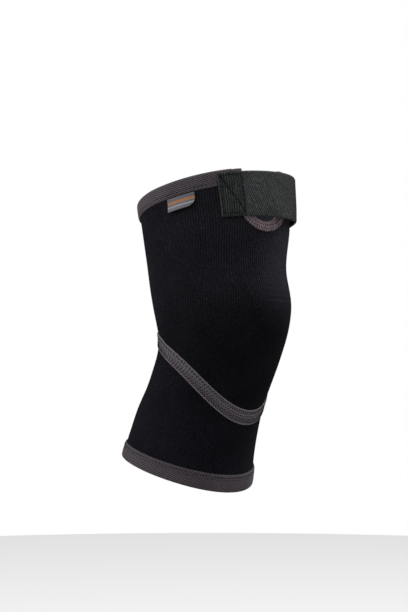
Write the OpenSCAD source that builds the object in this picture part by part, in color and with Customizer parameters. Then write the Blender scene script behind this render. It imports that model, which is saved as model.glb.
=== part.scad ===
// Pull-on knee brace: a knitted elastic sleeve for a slightly bent left leg, with a bridged notch at its top.
// The sleeve's surface is described by an angle round the leg and a level along the leg's centre line.
// Angles: 0 is the front (-Y), 90 is the outer side (+X). Levels: 0 is the knee's hinge, up is positive.

/* [Leg] */
// Lean of the thigh back from upright, degrees
thigh_lean = 9.5; // [6:0.5:12]
// Lean of the calf back from upright, degrees
calf_lean = 17; // [12:0.5:20]
// How gently the centre line bends at the knee, mm
bend_softness = 45; // [35:1:60]

/* [Fabric] */
// Thickness of the knitted fabric
fabric_t = 3; // [2:0.5:4]
// How far the hem bindings stand out from the fabric
hem_proud = 1.3; // [1:0.1:2.5]
// Level of the cut between the thigh's fabric and the part that bends over the knee
knee_top = 58; // [52:1:64]

/* [Top hem] */
// Mean level of the top edge
top_edge = 116.4; // [112:0.2:120]
// How much higher the top edge is in front than its mean
top_front_rise = 8.6; // [0:0.2:12]
// How much higher the top edge is on the inner side than its mean
top_inner_rise = 1.6; // [0:0.2:4]
// Height of the top binding
top_hem_h = 13.5; // [10:0.5:16]

/* [Bottom hem] */
// Mean level of the bottom edge
bottom_edge = -148.2; // [-150:0.2:-140]
// How much higher the bottom edge is in front than its mean
bottom_front_rise = 3.7; // [0:0.1:6]
// How much higher the bottom edge is at both sides
bottom_side_rise = 2; // [0:0.2:4]
// Height of the bottom binding
bottom_hem_h = 15; // [12:0.5:18]

/* [Knee seam] */
// Mean level of the seam between the two fabrics
seam_level = -48; // [-52:1:-44]
// How much lower the seam is in front than its mean
seam_front_drop = 24; // [10:1:26]
// How much the seam rises at both sides
seam_side_rise = 7; // [0:0.5:10]
// How much more the seam rises on the inner side than on the outer side
seam_inner_rise = 8.5; // [0:0.5:10]
// Width of the tape over the seam
seam_tape_w = 14; // [10:0.5:18]

/* [Notch] */
// Angle of the notch's middle round the leg
notch_turn = -5; // [-8:1:8]
// Half the width of the notch, and the radius of its round end
notch_r = 22; // [18:0.5:24]
// Depth of the notch below the top edge
notch_depth = 48.5; // [42:0.5:50]
// Width of the binding round the notch
notch_binding_w = 7.5; // [7:0.5:10]

/* [Strap] */
// Height of the strap
strap_h = 40; // [36:1:42]
// Thickness of the strap
strap_t = 2.2; // [1.5:0.1:2.5]
// Level of the strap's middle
strap_level = 102.2; // [100:0.2:103]
// Length of the stitched anchor tab round the leg, degrees
tab_span = 18; // [14:1:20]
// Angle where the strap ends on the outer side
strap_end = 88; // [80:1:95]
// Length of the hook patch at the strap's end, degrees
hook_span = 25; // [15:1:28]
// Length of the loop patch on the sleeve, degrees
loop_span = 48; // [30:1:50]

/* [Label] */
// Angle of the label's middle round the leg
label_turn = -68; // [-75:1:-58]
// Width of the label
label_w = 25; // [15:1:28]
// Height of the label below the hem
label_h = 12; // [8:0.5:14]

/* [Hidden] */

// Shape of the leg: at each level, half the width, the depth in front and the depth behind the centre line
levels = [125, 80, 40, 8, -30, -65, -105, -150];
half_widths = [72, 69, 65, 64, 61, 58, 58, 57];
front_depths = [81, 80, 70.5, 77.7, 68.5, 59, 56, 65];
back_depths = [65, 62, 62, 56, 40.5, 50.5, 66, 76.5];

gap = 0.15;               // clearance between two layers that touch on the real sleeve
sewn_gap = 0.45;          // clearance under a tape or patch sewn on a curved layer
thread_gap = 0.35;        // clearance under a stitch
end_gap = 0.7;            // clearance between the ends of the hem's binding and the notch's
turn_step = 7.5;          // facet width round the leg, degrees
inner_leg = 8;            // how far the bindings reach down inside the sleeve
binding_inner_t = 1.3;    // thickness of a binding's inner leg
edge_inset = 0.6;         // how far the fabric ends short of a binding's fold
tape_t = 0.9;             // height of the seam tape's edges
tape_crown = 0.4;         // how much higher its middle is
back_seam_w = 8;          // width of the flat seams at the back
back_seam_t = 0.8;        // thickness of the flat seams at the back
patch_t = 1;              // thickness of the hook and loop patches
label_t = 0.8;            // thickness of the folded label
label_curl = 2.2;         // how far the label's lower edge stands off
thread_w = 0.35;          // half the width of a stitch
thread_h = 0.4;           // height of a stitch
stitch_half = 1.7;        // half the length of a hem or tape stitch, degrees
hinge_gap = 0.3;          // clearance between the tab and the free strap, degrees
stitch_inset = 2.5;       // distance of a stitch row from the edge it holds

knit_color = [0.09, 0.09, 0.10];
binding_color = [0.26, 0.24, 0.26];
strap_color = [0.20, 0.21, 0.21];
tab_color = [0.15, 0.15, 0.16];
thread_color = [0.42, 0.40, 0.41];
gathered_color = [0.31, 0.27, 0.29];
label_color = [0.45, 0.44, 0.46];

// ---- the leg's surface ----

function level_index(s, i = 0) =
    (i >= len(levels) - 2 || s >= levels[i + 1]) ? i : level_index(s, i + 1);

function slope_at(values, i) =
    let (a = max(i - 1, 0), b = min(i + 1, len(levels) - 1))
    (values[b] - values[a]) / (levels[b] - levels[a]);

// Smooth curve through the values given at the levels
function at_level(values, s) =
    let (i = level_index(s), h = levels[i + 1] - levels[i], t = (s - levels[i]) / h)
    (2 * t ^ 3 - 3 * t ^ 2 + 1) * values[i] + (t ^ 3 - 2 * t ^ 2 + t) * h * slope_at(values, i)
    + (3 * t ^ 2 - 2 * t ^ 3) * values[i + 1] + (t ^ 3 - t ^ 2) * h * slope_at(values, i + 1);

lean_change = (tan(thigh_lean) - tan(calf_lean)) / 2;
lean_mean = (tan(thigh_lean) + tan(calf_lean)) / 2;

function centre_y(s) = lean_change * s + lean_mean * (sqrt(s ^ 2 + bend_softness ^ 2) - bend_softness);

function lean(s) = atan(lean_change + lean_mean * s / sqrt(s ^ 2 + bend_softness ^ 2));

// Point at an angle and a level, standing off the fabric's outer face
function skin(turn, s, off = 0) =
    let (side = (at_level(half_widths, s) + off) * sin(turn),
        depth = at_level(cos(turn) > 0 ? front_depths : back_depths, s) + off,
        back = -depth * cos(turn))
    [side, centre_y(s) + back * cos(lean(s)), s - back * sin(lean(s))];

// ---- lines round the leg ----

function top_line(turn) = top_edge + top_front_rise * cos(turn) - top_inner_rise * sin(turn);

function bottom_line(turn) = bottom_edge + bottom_front_rise * cos(turn) - bottom_side_rise * cos(2 * turn);

function seam_line(turn) =
    seam_level - seam_front_drop * cos(turn) - seam_side_rise * cos(2 * turn) - seam_inner_rise * sin(turn);

// ---- the notch: a U outline, in mm across the front and in levels ----

notch_girth = at_level(half_widths, strap_level);
notch_centre = top_line(notch_turn) - notch_depth + notch_r;

function across(x) = notch_turn + asin(x / notch_girth);

notch_bend = 0.75;        // share of v that the round end takes

// Point of the U outline, pushed into the fabric by out; v runs from -1 to 1 along it
function notch_point(v, out) =
    let (r = notch_r + out, side = sign(v), rest = (abs(v) - notch_bend) / (1 - notch_bend))
    abs(v) <= notch_bend
    ? [r * sin(90 * v / notch_bend), notch_centre - r * cos(90 * v / notch_bend)]
    : [side * r, notch_centre + rest * (top_line(across(side * r)) - notch_centre)];

// Smooth step from 0 to 1
function ease(t) = let (c = min(max(t, 0), 1)) c * c * (3 - 2 * c);

// How far the layers under the strap's parts stand out from the fabric
function layer_height(turn, s) =
    let (x = notch_girth * sin(turn - notch_turn), dy = min(s - notch_centre, 0),
        to_notch = norm([x, dy]) - notch_r - notch_binding_w,
        to_hem = top_line(turn) - top_hem_h - s)
    hem_proud * max(1 - ease(to_notch / 3), 1 - ease(to_hem / 3));

// ---- solids from points ----

// Solid whose skin joins a row of closed loops of points; a ring joins the last loop to the first
module looped_solid(loops, ring = false) {
    count = len(loops);
    size = len(loops[0]);
    sides = [for (i = [0 : count - (ring ? 1 : 2)]) for (j = [0 : size - 1])
        let (a = i * size, b = (i + 1) % count * size, k = (j + 1) % size)
        each [[a + j, a + k, b + k], [a + j, b + k, b + j]]];
    first = [for (j = [size - 1 : -1 : 0]) j];
    last = [for (j = [0 : size - 1]) (count - 1) * size + j];
    polyhedron([for (loop = loops) each loop], ring ? sides : concat(sides, [first, last]));
}

full_turn = [for (turn = [-180 : turn_step : 180 - turn_step]) turn];

// Angles from one to another in equal steps
function spread(from, to, steps) = [for (i = [0 : steps]) from + (to - from) * i / steps];

// Fabric between two lines, each given as a list of [angle, level]
module panel(lower, upper, rows) {
    loops = [for (i = [0 : len(lower) - 1])
        let (column = [for (r = [0 : rows]) lower[i] + (upper[i] - lower[i]) * r / rows])
        concat([for (p = column) skin(p[0], p[1])],
            [for (r = [rows : -1 : 0]) skin(column[r][0], column[r][1], -fabric_t)])];
    looped_solid(loops, ring = true);
}

function line(levels_at) = [for (turn = full_turn) [turn, levels_at(turn)]];

// Binding folded over an edge, as [stand-off, distance down from the fold]
function binding_profile(outer_leg) = [
    [sewn_gap, outer_leg], [hem_proud - 0.5, outer_leg], [hem_proud, outer_leg - 0.7], [hem_proud, 0.9],
    [hem_proud - 0.8, -0.6], [0, -1], [-fabric_t, -1], [-fabric_t - binding_inner_t, 0.5],
    [-fabric_t - binding_inner_t, inner_leg], [-fabric_t - sewn_gap, inner_leg],
    [-fabric_t - sewn_gap, edge_inset - gap], [sewn_gap, edge_inset - gap]];

// Band round the leg along turns; its profile is [stand-off, distance down from line_at]
module band(turns, profile, line_at, ring = false) {
    looped_solid([for (turn = turns) [for (p = profile) skin(turn, line_at(turn) - p[1], p[0])]], ring);
}

// Patch between two angles and two levels; stand-off of its inner face comes from base_at(turn, level)
module patch(turns, low_at, high_at, base_at, thick, rows = 4) {
    loops = [for (turn = turns)
        let (low = low_at(turn), high = high_at(turn),
            column = [for (r = [0 : rows]) low + (high - low) * r / rows])
        concat([for (s = column) skin(turn, s, base_at(turn, s) + thick)],
            [for (r = [rows : -1 : 0]) skin(turn, column[r], base_at(turn, column[r]))])];
    looped_solid(loops);
}

// Flat seam up the back, from one level to another
module back_seam(low, high) {
    steps = ceil((high - low) / 6);
    half = back_seam_w / 2;
    profile = [[half, sewn_gap], [half - 0.6, sewn_gap + back_seam_t], [-half + 0.6, sewn_gap + back_seam_t],
        [-half, sewn_gap]];
    loops = [for (i = [0 : steps])
        let (s = low + (high - low) * i / steps)
        [for (p = profile) skin(180 + asin(p[0] / at_level(half_widths, s)), s, p[1])]];
    looped_solid(loops);
}

// One stitch from a to b, each [angle, level], lying on a layer at a stand-off
module stitch(a, b, off) {
    from = skin(a[0], a[1], off + thread_gap);
    to = skin(b[0], b[1], off + thread_gap);
    up = skin(a[0], a[1], off + 1) - skin(a[0], a[1], off);
    side = cross(up, to - from) * thread_w / norm(cross(up, to - from));
    corners = [-side + up * thread_h, side + up * thread_h, side, -side];
    looped_solid([[for (c = corners) from + c], [for (c = corners) to + c]]);
}

// Row of stitches round the leg along turns, at a distance down from line_at
module stitch_row(turns, line_at, down, off) {
    for (turn = turns) {
        ends = [for (t = [turn - stitch_half, turn + stitch_half]) [t, line_at(t) - down]];
        stitch(ends[0], ends[1], off);
    }
}

// Rectangle of stitches that drops with the top edge; off_at(turn, level) is what they lie on
module stitch_box(turn_low, turn_high, low, high, off_at, across_count, up_count) {
    dt = (turn_high - turn_low) / across_count;
    dz = (high - low) / up_count;
    for (i = [0 : across_count - 1], edge = [low, high]) {
        t = turn_low + (i + 0.5) * dt;
        s = edge - hem_drop(t);
        stitch([t - 0.35 * dt, edge - hem_drop(t - 0.35 * dt)],
            [t + 0.35 * dt, edge - hem_drop(t + 0.35 * dt)], off_at(t, s));
    }
    for (i = [0 : up_count - 1], t = [turn_low, turn_high]) {
        s = low + (i + 0.5) * dz - hem_drop(t);
        stitch([t, s - 0.35 * dz], [t, s + 0.35 * dz], off_at(t, s));
    }
}

// ---- fabric ----

// Top edge of the upper fabric, following the notch; the line below it is spread to match
notch_steps = 24;
notch_spread = 36;        // half angle at knee_top from which the notch's columns rise
notch_side = across(notch_r + edge_inset) - notch_turn;
notch_columns = [for (i = [0 : notch_steps]) let (v = 2 * i / notch_steps - 1)
    let (p = notch_point(v, edge_inset))
    [[notch_turn + notch_spread * v, knee_top + gap / 2],
        [across(p[0]), min(p[1], top_line(across(p[0])) - edge_inset)]]];
plain_steps = 38;
plain_columns = [for (i = [1 : plain_steps - 1]) let (t = i / plain_steps)
    let (below = notch_turn + notch_spread + t * (360 - 2 * notch_spread),
        above = notch_turn + notch_side + t * (360 - 2 * notch_side))
    [[below, knee_top + gap / 2], [above, top_line(above) - edge_inset]]];
thigh_columns = concat(notch_columns, plain_columns);

module thigh_panel() {
    color(knit_color)
        panel([for (c = thigh_columns) c[0]], [for (c = thigh_columns) c[1]], 5);
}

module knee_panel() {
    color(knit_color)
        panel(line(function(turn) seam_line(turn) + gap / 2), line(function(turn) knee_top - gap / 2), 12);
}

module calf_panel() {
    color(knit_color)
        panel(line(function(turn) bottom_line(turn) + edge_inset),
            line(function(turn) seam_line(turn) - gap / 2), 14);
}

module thigh_back_seam() {
    color(knit_color)
        back_seam(knee_top + gap, top_line(180) - top_hem_h - 0.5);
}

module knee_back_seam() {
    color(knit_color)
        back_seam(seam_line(180) + seam_tape_w / 2 + 0.8, knee_top - gap);
}

module calf_back_seam() {
    color(knit_color)
        back_seam(bottom_line(180) + bottom_hem_h + 0.8, seam_line(180) - seam_tape_w / 2 - 0.8);
}

// ---- bindings and tape ----

binding_out = notch_r + notch_binding_w + end_gap;
hem_start = across(binding_out);
hem_end = across(-binding_out) + 360;
hem_turns = spread(hem_start, hem_end, 42);

module top_hem_binding() {
    color(binding_color)
        band(hem_turns, binding_profile(top_hem_h), function(turn) top_line(turn));
}

module bottom_hem_binding() {
    flipped = [for (p = binding_profile(bottom_hem_h)) [p[0], -p[1]]];
    color(binding_color)
        band([for (turn = full_turn) -turn], flipped, function(turn) bottom_line(turn), ring = true);
}

module notch_binding() {
    profile = binding_profile(notch_binding_w);
    loops = [for (i = [0 : notch_steps])
        let (v = 2 * i / notch_steps - 1)
        [for (p = profile) let (q = notch_point(v, p[1])) skin(across(q[0]), q[1], p[0])]];
    color(gathered_color)
        looped_solid(loops);
}

module knee_seam_tape() {
    half = seam_tape_w / 2;
    crown = tape_t + tape_crown;
    profile = [[sewn_gap, half], [tape_t, half], [crown, half - 0.8], [crown, -half + 0.8], [tape_t, -half],
        [sewn_gap, -half]];
    color(binding_color)
        band(full_turn, profile, function(turn) seam_line(turn), ring = true);
}

// ---- strap ----

strap_low = strap_level - strap_h / 2;
strap_high = strap_level + strap_h / 2;
follow_turn = 40;         // past this angle the top edge drops away from the strap's height
strap_sag = 1;            // how much lower the strap lies past the notch than at its tab
sag_span = 45;            // stretch past the tab in which it gets there, degrees
strap_follow = 0.25;      // share of the top edge's drop that the strap follows
hinge_turn = across(-notch_r);
tab_start = hinge_turn - tab_span;
loop_start = strap_end - hook_span - 4;
tab_turns = spread(tab_start, hinge_turn - hinge_gap, 10);
strap_turns = spread(hinge_turn + hinge_gap, strap_end, 26);
hook_turns = spread(strap_end - 1 - hook_span, strap_end - 1, 6);
loop_turns = spread(loop_start, loop_start + loop_span, 8);
strap_corner = 6;         // radius of the strap's free corners, degrees and mm
strap_base = hem_proud + sewn_gap;
hook_off = strap_base + patch_t + gap;
strap_far_off = hook_off + patch_t + gap;
strap_lift = 2.2;         // how far the stretched strap stands off over the front
lift_span = 40;           // stretch past the tab in which it gets there, degrees
lift_fade = [35, 65];     // angles between which it comes back to the sleeve
hook_inset = 3;           // distance of the hook patch from the strap's edges
loop_inset = 1.5;         // how much closer to the strap's middle line the loop patch's edges are

// How far the top edge has dropped below its height at the strap's front
function hem_drop(turn) = turn < follow_turn ? 0 : max(top_line(follow_turn) - top_line(turn), 0);

// How far the strap has dropped: a little past its tab, then part of the way that the top edge does
function strap_drop(turn) = strap_sag * ease((turn - hinge_turn) / sag_span) + strap_follow * hem_drop(turn);

// Stand-off of the strap's inner face
function strap_off(turn) =
    let (far = ease((turn - hinge_turn) / (strap_end - hook_span - hinge_turn)),
        fade = ease((turn - lift_fade[0]) / (lift_fade[1] - lift_fade[0])),
        bulge = ease((turn - hinge_turn) / lift_span) * (1 - fade))
    strap_base + (strap_far_off - strap_base) * far + strap_lift * bulge;

function corner_cut(turn) =
    let (u = max(turn - strap_end + strap_corner, 0))
    strap_corner - sqrt(max(strap_corner ^ 2 - u ^ 2, 0.01));

module strap_anchor_tab() {
    color(tab_color)
        patch(tab_turns, function(turn) strap_low, function(turn) strap_high,
            function(turn, s) layer_height(turn, s) + sewn_gap, strap_t, 14);
}

module strap_webbing() {
    color(strap_color)
        patch(strap_turns, function(turn) strap_low + corner_cut(turn) - strap_drop(turn),
            function(turn) strap_high - corner_cut(turn) - strap_drop(turn),
            function(turn, s) strap_off(turn), strap_t);
}

module strap_hook_patch() {
    color(tab_color)
        patch(hook_turns, function(turn) strap_low + hook_inset - strap_drop(turn),
            function(turn) strap_high - hook_inset - strap_drop(turn), function(turn, s) hook_off, patch_t - gap);
}

module strap_loop_patch() {
    color(tab_color)
        patch(loop_turns, function(turn) strap_low + loop_inset - hem_drop(turn),
            function(turn) strap_high - loop_inset - hem_drop(turn),
            function(turn, s) layer_height(turn, s) + sewn_gap, patch_t, 14);
}

// ---- label ----

label_half = asin(label_w / 2 / at_level(half_widths, top_edge));
label_turns = spread(label_turn - label_half, label_turn + label_half, 6);
label_top = top_line(label_turn) - top_hem_h - 2;

module label() {
    color(label_color)
        patch(label_turns, function(turn) label_top - label_h, function(turn) label_top,
            function(turn, s) gap + 0.3 + label_curl * ((label_top - s) / label_h) ^ 2, label_t);
}

// ---- stitches ----

// The strap's tab and the loop patch cover the hem's stitches there
function is_covered(turn) =
    turn > tab_start + 360 - 3 || (turn > loop_start - 3 && turn < loop_start + loop_span + 3);

module top_hem_stitches() {
    step = (hem_end - hem_start) / 48;
    color(thread_color)
        stitch_row([for (turn = spread(hem_start + step, hem_end - step, 46)) if (!is_covered(turn)) turn],
            function(turn) top_line(turn), top_hem_h - stitch_inset, hem_proud);
}

module bottom_hem_stitches() {
    color(thread_color)
        stitch_row(full_turn, function(turn) bottom_line(turn), stitch_inset - bottom_hem_h, hem_proud);
}

module knee_seam_stitches() {
    color(thread_color)
        for (down = [-1, 1] * (seam_tape_w / 2 - stitch_inset)) {
            stitch_row(full_turn, function(turn) seam_line(turn), down, tape_t + tape_crown);
        }
}

module notch_stitches() {
    count = 18;
    color(thread_color)
        for (i = [1 : count]) {
            v = (2 * i - count - 1) / count;
            p = notch_point(v - 0.03, notch_binding_w - stitch_inset);
            q = notch_point(v + 0.03, notch_binding_w - stitch_inset);
            if (p[1] < strap_low - 1) {
                stitch([across(p[0]), p[1]], [across(q[0]), q[1]], hem_proud);
            }
        }
}

module anchor_stitches() {
    color(thread_color)
        stitch_box(tab_start + 1.5, hinge_turn - 1.5, strap_low + stitch_inset, strap_high - stitch_inset,
            function(turn, s) layer_height(turn, s) + sewn_gap + strap_t, 6, 9);
}

module loop_patch_stitches() {
    color(thread_color)
        stitch_box(strap_end + 1, loop_start + loop_span - 1.5, strap_low + 4, strap_high - 4,
            function(turn, s) layer_height(turn, s) + sewn_gap + patch_t, 5, 8);
}

thigh_panel();
knee_panel();
calf_panel();
top_hem_binding();
notch_binding();
bottom_hem_binding();
knee_seam_tape();
thigh_back_seam();
knee_back_seam();
calf_back_seam();
strap_anchor_tab();
strap_webbing();
strap_hook_patch();
strap_loop_patch();
label();
top_hem_stitches();
notch_stitches();
bottom_hem_stitches();
knee_seam_stitches();
anchor_stitches();
loop_patch_stitches();
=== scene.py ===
import math

import bmesh
import bpy
import numpy as np
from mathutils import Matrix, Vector

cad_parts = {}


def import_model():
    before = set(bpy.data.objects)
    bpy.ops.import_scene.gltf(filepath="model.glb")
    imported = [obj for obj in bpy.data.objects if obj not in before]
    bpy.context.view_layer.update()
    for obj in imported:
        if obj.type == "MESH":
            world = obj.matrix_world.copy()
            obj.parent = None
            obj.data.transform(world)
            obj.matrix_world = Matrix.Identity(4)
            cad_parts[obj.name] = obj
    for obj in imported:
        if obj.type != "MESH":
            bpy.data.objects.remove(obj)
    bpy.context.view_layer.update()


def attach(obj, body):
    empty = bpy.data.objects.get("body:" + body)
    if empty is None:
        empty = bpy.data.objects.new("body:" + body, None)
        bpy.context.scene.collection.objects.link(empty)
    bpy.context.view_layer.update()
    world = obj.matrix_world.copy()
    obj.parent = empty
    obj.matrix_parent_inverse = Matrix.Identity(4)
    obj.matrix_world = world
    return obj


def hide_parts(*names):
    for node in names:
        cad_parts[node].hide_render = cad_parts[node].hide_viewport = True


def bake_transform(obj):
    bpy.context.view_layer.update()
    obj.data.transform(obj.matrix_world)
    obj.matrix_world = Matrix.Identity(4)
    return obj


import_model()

MM = 0.001

# ---- the sleeve's shape, in millimetres and degrees: the same values as in part.scad ----

LEVELS = np.array([125, 80, 40, 8, -30, -65, -105, -150], float)
HALF_WIDTHS = np.array([72, 69, 65, 64, 61, 58, 58, 57], float)
FRONT_DEPTHS = np.array([81, 80, 70.5, 77.7, 68.5, 59, 56, 65], float)
BACK_DEPTHS = np.array([65, 62, 62, 56, 40.5, 50.5, 66, 76.5], float)
THIGH_LEAN, CALF_LEAN, BEND_SOFTNESS = 9.5, 17.0, 45.0
LEAN_CHANGE = (math.tan(math.radians(THIGH_LEAN)) - math.tan(math.radians(CALF_LEAN))) / 2
LEAN_MEAN = (math.tan(math.radians(THIGH_LEAN)) + math.tan(math.radians(CALF_LEAN))) / 2

HEM_PROUD = 1.3           # how far bindings stand out from the fabric
TOP_EDGE, TOP_FRONT_RISE, TOP_INNER_RISE, TOP_HEM_H = 116.4, 8.6, 1.6, 13.5
BOTTOM_EDGE, BOTTOM_FRONT_RISE, BOTTOM_SIDE_RISE, BOTTOM_HEM_H = -148.2, 3.7, 2.0, 15.0
SEAM_LEVEL, SEAM_FRONT_DROP, SEAM_SIDE_RISE, SEAM_INNER_RISE = -48.0, 24.0, 7.0, 8.5
TAPE_W = 14.0
NOTCH_TURN, NOTCH_R, NOTCH_DEPTH, NOTCH_BINDING_W = -5.0, 22.0, 48.5, 7.5
STRAP_LEVEL, STRAP_H, STRAP_T = 102.2, 40.0, 2.2
STRAP_END, HOOK_SPAN, LOOP_SPAN, TAB_SPAN = 88.0, 25.0, 48.0, 18.0
LABEL_TURN, LABEL_W, LABEL_H = -68.0, 25.0, 12.0
SEWN_GAP = 0.45           # clearance under a tab or patch sewn on the sleeve

# ---- thicknesses, a little less than those of the CAD solids ----

FABRIC_T = 2.6
TAPE_T = 0.85


def ease(t):
    """0 below 0, 1 above 1, smooth between."""
    t = np.clip(t, 0, 1)
    return t * t * (3 - 2 * t)


def hump(x, middle, reach):
    """1 at the middle, 0.37 at a reach from it, and fading out beyond."""
    return np.exp(-((x - middle) / reach) ** 2)


def cosd(turn):
    return np.cos(np.radians(turn))


def sind(turn):
    return np.sin(np.radians(turn))


def at_level(values, s):
    """Smooth curve through the values at LEVELS, which run downwards."""
    s = np.asarray(s, float)
    last = len(LEVELS) - 1
    above = np.maximum(np.arange(last + 1) - 1, 0)
    below = np.minimum(np.arange(last + 1) + 1, last)
    slopes = (values[below] - values[above]) / (LEVELS[below] - LEVELS[above])
    i = np.clip(np.searchsorted(-LEVELS, -s, side="right") - 1, 0, last - 1)
    h = LEVELS[i + 1] - LEVELS[i]
    t = (s - LEVELS[i]) / h
    return (
        (2 * t**3 - 3 * t**2 + 1) * values[i] + (t**3 - 2 * t**2 + t) * h * slopes[i]
        + (3 * t**2 - 2 * t**3) * values[i + 1] + (t**3 - t**2) * h * slopes[i + 1]
    )


def skin(turn, s, off=0.0):
    """Points, in metres, at an angle round the leg and a level along it, standing off the fabric's face."""
    turn, s, off = np.broadcast_arrays(*(np.asarray(x, float) for x in (turn, s, off)))
    root = np.sqrt(s**2 + BEND_SOFTNESS**2)
    centre_y = LEAN_CHANGE * s + LEAN_MEAN * (root - BEND_SOFTNESS)
    lean = np.arctan(LEAN_CHANGE + LEAN_MEAN * s / root)
    depth = np.where(cosd(turn) > 0, at_level(FRONT_DEPTHS, s), at_level(BACK_DEPTHS, s)) + off
    back = -depth * cosd(turn)
    x = (at_level(HALF_WIDTHS, s) + off) * sind(turn)
    return np.stack([x, centre_y + back * np.cos(lean), s - back * np.sin(lean)], -1) * MM


def top_line(turn):
    """Level of the sleeve's top edge at an angle round the leg."""
    return TOP_EDGE + TOP_FRONT_RISE * cosd(turn) - TOP_INNER_RISE * sind(turn)


def bottom_line(turn):
    """Level of the sleeve's bottom edge."""
    return BOTTOM_EDGE + BOTTOM_FRONT_RISE * cosd(turn) - BOTTOM_SIDE_RISE * cosd(2 * turn)


def seam_line(turn):
    """Level of the seam between the two fabrics."""
    rise = SEAM_SIDE_RISE * cosd(2 * turn)
    return SEAM_LEVEL - SEAM_FRONT_DROP * cosd(turn) - rise - SEAM_INNER_RISE * sind(turn)


NOTCH_GIRTH = float(at_level(HALF_WIDTHS, STRAP_LEVEL))
NOTCH_CENTRE = float(top_line(NOTCH_TURN)) - NOTCH_DEPTH + NOTCH_R
NOTCH_BEND = 0.75         # share of the U outline that its round end takes


def across(x):
    """Angle round the leg at a distance across the front from the notch's middle."""
    return NOTCH_TURN + np.degrees(np.arcsin(np.asarray(x, float) / NOTCH_GIRTH))


def notch_point(v, out):
    """Angle and level on the notch's U outline, pushed out into the fabric; v runs from -1 to 1."""
    v, out = np.broadcast_arrays(np.asarray(v, float), np.asarray(out, float))
    r = NOTCH_R + out
    swing = np.radians(90 * v / NOTCH_BEND)
    rest = (np.abs(v) - NOTCH_BEND) / (1 - NOTCH_BEND)
    is_round = np.abs(v) <= NOTCH_BEND
    x = np.where(is_round, r * np.sin(swing), np.sign(v) * r)
    turn = across(x)
    level = np.where(is_round, NOTCH_CENTRE - r * np.cos(swing),
                     NOTCH_CENTRE + rest * (top_line(turn) - NOTCH_CENTRE))
    return turn, level


def to_notch(turn, s):
    """Distance from the notch's outline, negative inside the gap."""
    x = NOTCH_GIRTH * sind(turn - NOTCH_TURN)
    return np.hypot(x, np.minimum(s - NOTCH_CENTRE, 0)) - NOTCH_R


def layer_height(turn, s):
    """How far the hem and the notch's binding lift what lies on them."""
    to_hem = top_line(turn) - TOP_HEM_H - s
    return HEM_PROUD * np.maximum(1 - ease((to_notch(turn, s) - NOTCH_BINDING_W) / 3), 1 - ease(to_hem / 3))


# ---- meshes ----

def add_object(name, data):
    """New object in the scene."""
    obj = bpy.data.objects.new(name, data)
    bpy.context.collection.objects.link(obj)
    return obj


def finish_mesh(name, points, faces, uvs, material):
    """New object from points, faces and one uv per face corner, in millimetres along the cloth."""
    mesh = bpy.data.meshes.new(name)
    mesh.from_pydata(points.reshape(-1, 3), [], faces)
    if uvs is not None:
        layer = mesh.uv_layers.new(name="cloth")
        layer.data.foreach_set("uv", np.asarray(uvs, np.float32).ravel())
    mesh.polygons.foreach_set("use_smooth", [True] * len(mesh.polygons))
    mesh.materials.append(material)
    mesh.update()
    return add_object(name, mesh)


def grid(name, points, material, u_mm, v_mm, ring=False, loop=False, keep=None, capped=False):
    """Piece from a grid of points: columns run round the leg, rows up it.

    u_mm and v_mm broadcast to the grid's shape. ring joins the last column to the first, loop joins the last
    row to the first, keep marks the faces to keep, and capped closes the first and the last column.
    """
    columns, rows = points.shape[:2]
    i, j = np.meshgrid(np.arange(columns if ring else columns - 1), np.arange(rows if loop else rows - 1),
                       indexing="ij")
    if keep is not None:
        i, j = i[keep], j[keep]
    i, j = i.ravel(), j.ravel()
    corners = ((i, j), (i + 1, j), (i + 1, j + 1), (i, j + 1))
    faces = np.stack([(a % columns) * rows + b % rows for a, b in corners], -1).tolist()
    size = (columns + ring, rows + loop)
    u_mm, v_mm = np.broadcast_to(u_mm, size), np.broadcast_to(v_mm, size)
    uv = np.stack([np.stack([u_mm[a, b], v_mm[a, b]], -1) for a, b in corners], 1).reshape(-1, 2)
    if capped:
        faces.append(list(range(rows))[::-1])
        faces.append([(columns - 1) * rows + k for k in range(rows)])
        uv = np.concatenate([uv, np.zeros((2 * rows, 2))])
    obj = finish_mesh(name, points, faces, uv, material)
    if keep is not None:
        drop_loose(obj.data)
    return obj


def drop_loose(mesh):
    """Removes the vertices that no face uses."""
    bm = bmesh.new()
    bm.from_mesh(mesh)
    bmesh.ops.delete(bm, geom=[v for v in bm.verts if not v.link_faces], context="VERTS")
    bm.to_mesh(mesh)
    bm.free()


def thicken(obj, thickness_mm):
    """Gives a sheet its thickness, inwards, and applies it."""
    modifier = obj.modifiers.new("thickness", "SOLIDIFY")
    modifier.thickness = thickness_mm * MM
    modifier.offset = -1
    depsgraph = bpy.context.evaluated_depsgraph_get()
    mesh = bpy.data.meshes.new_from_object(obj.evaluated_get(depsgraph), depsgraph=depsgraph)
    obj.modifiers.clear()
    old = obj.data
    obj.data = mesh
    bpy.data.meshes.remove(old)
    mesh.name = obj.name
    return obj


PILL_SIDES = 6
PILL_RINGS = ((0.0, 0.15), (0.12, 0.85), (0.5, 1.0), (0.88, 0.85), (1.0, 0.15))  # place, share of radius


def pill_faces(count):
    """Faces of a number of pills, whose points run ring by ring."""
    rings = len(PILL_RINGS)
    faces = []
    for n in range(count):
        base = n * rings * PILL_SIDES
        for r in range(rings - 1):
            for k in range(PILL_SIDES):
                a = base + r * PILL_SIDES
                b = a + PILL_SIDES
                after = (k + 1) % PILL_SIDES
                faces.append([a + k, b + k, b + after, a + after])
        top = base + (rings - 1) * PILL_SIDES
        faces.append([base + k for k in range(PILL_SIDES)])
        faces.append([top + k for k in range(PILL_SIDES)][::-1])
    return faces


def shares(columns, rows):
    """Shares from 0 to 1 along a patch's columns and rows, shaped for a grid."""
    return np.linspace(0, 1, columns)[:, None], np.linspace(0, 1, rows)[None, :]


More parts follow.
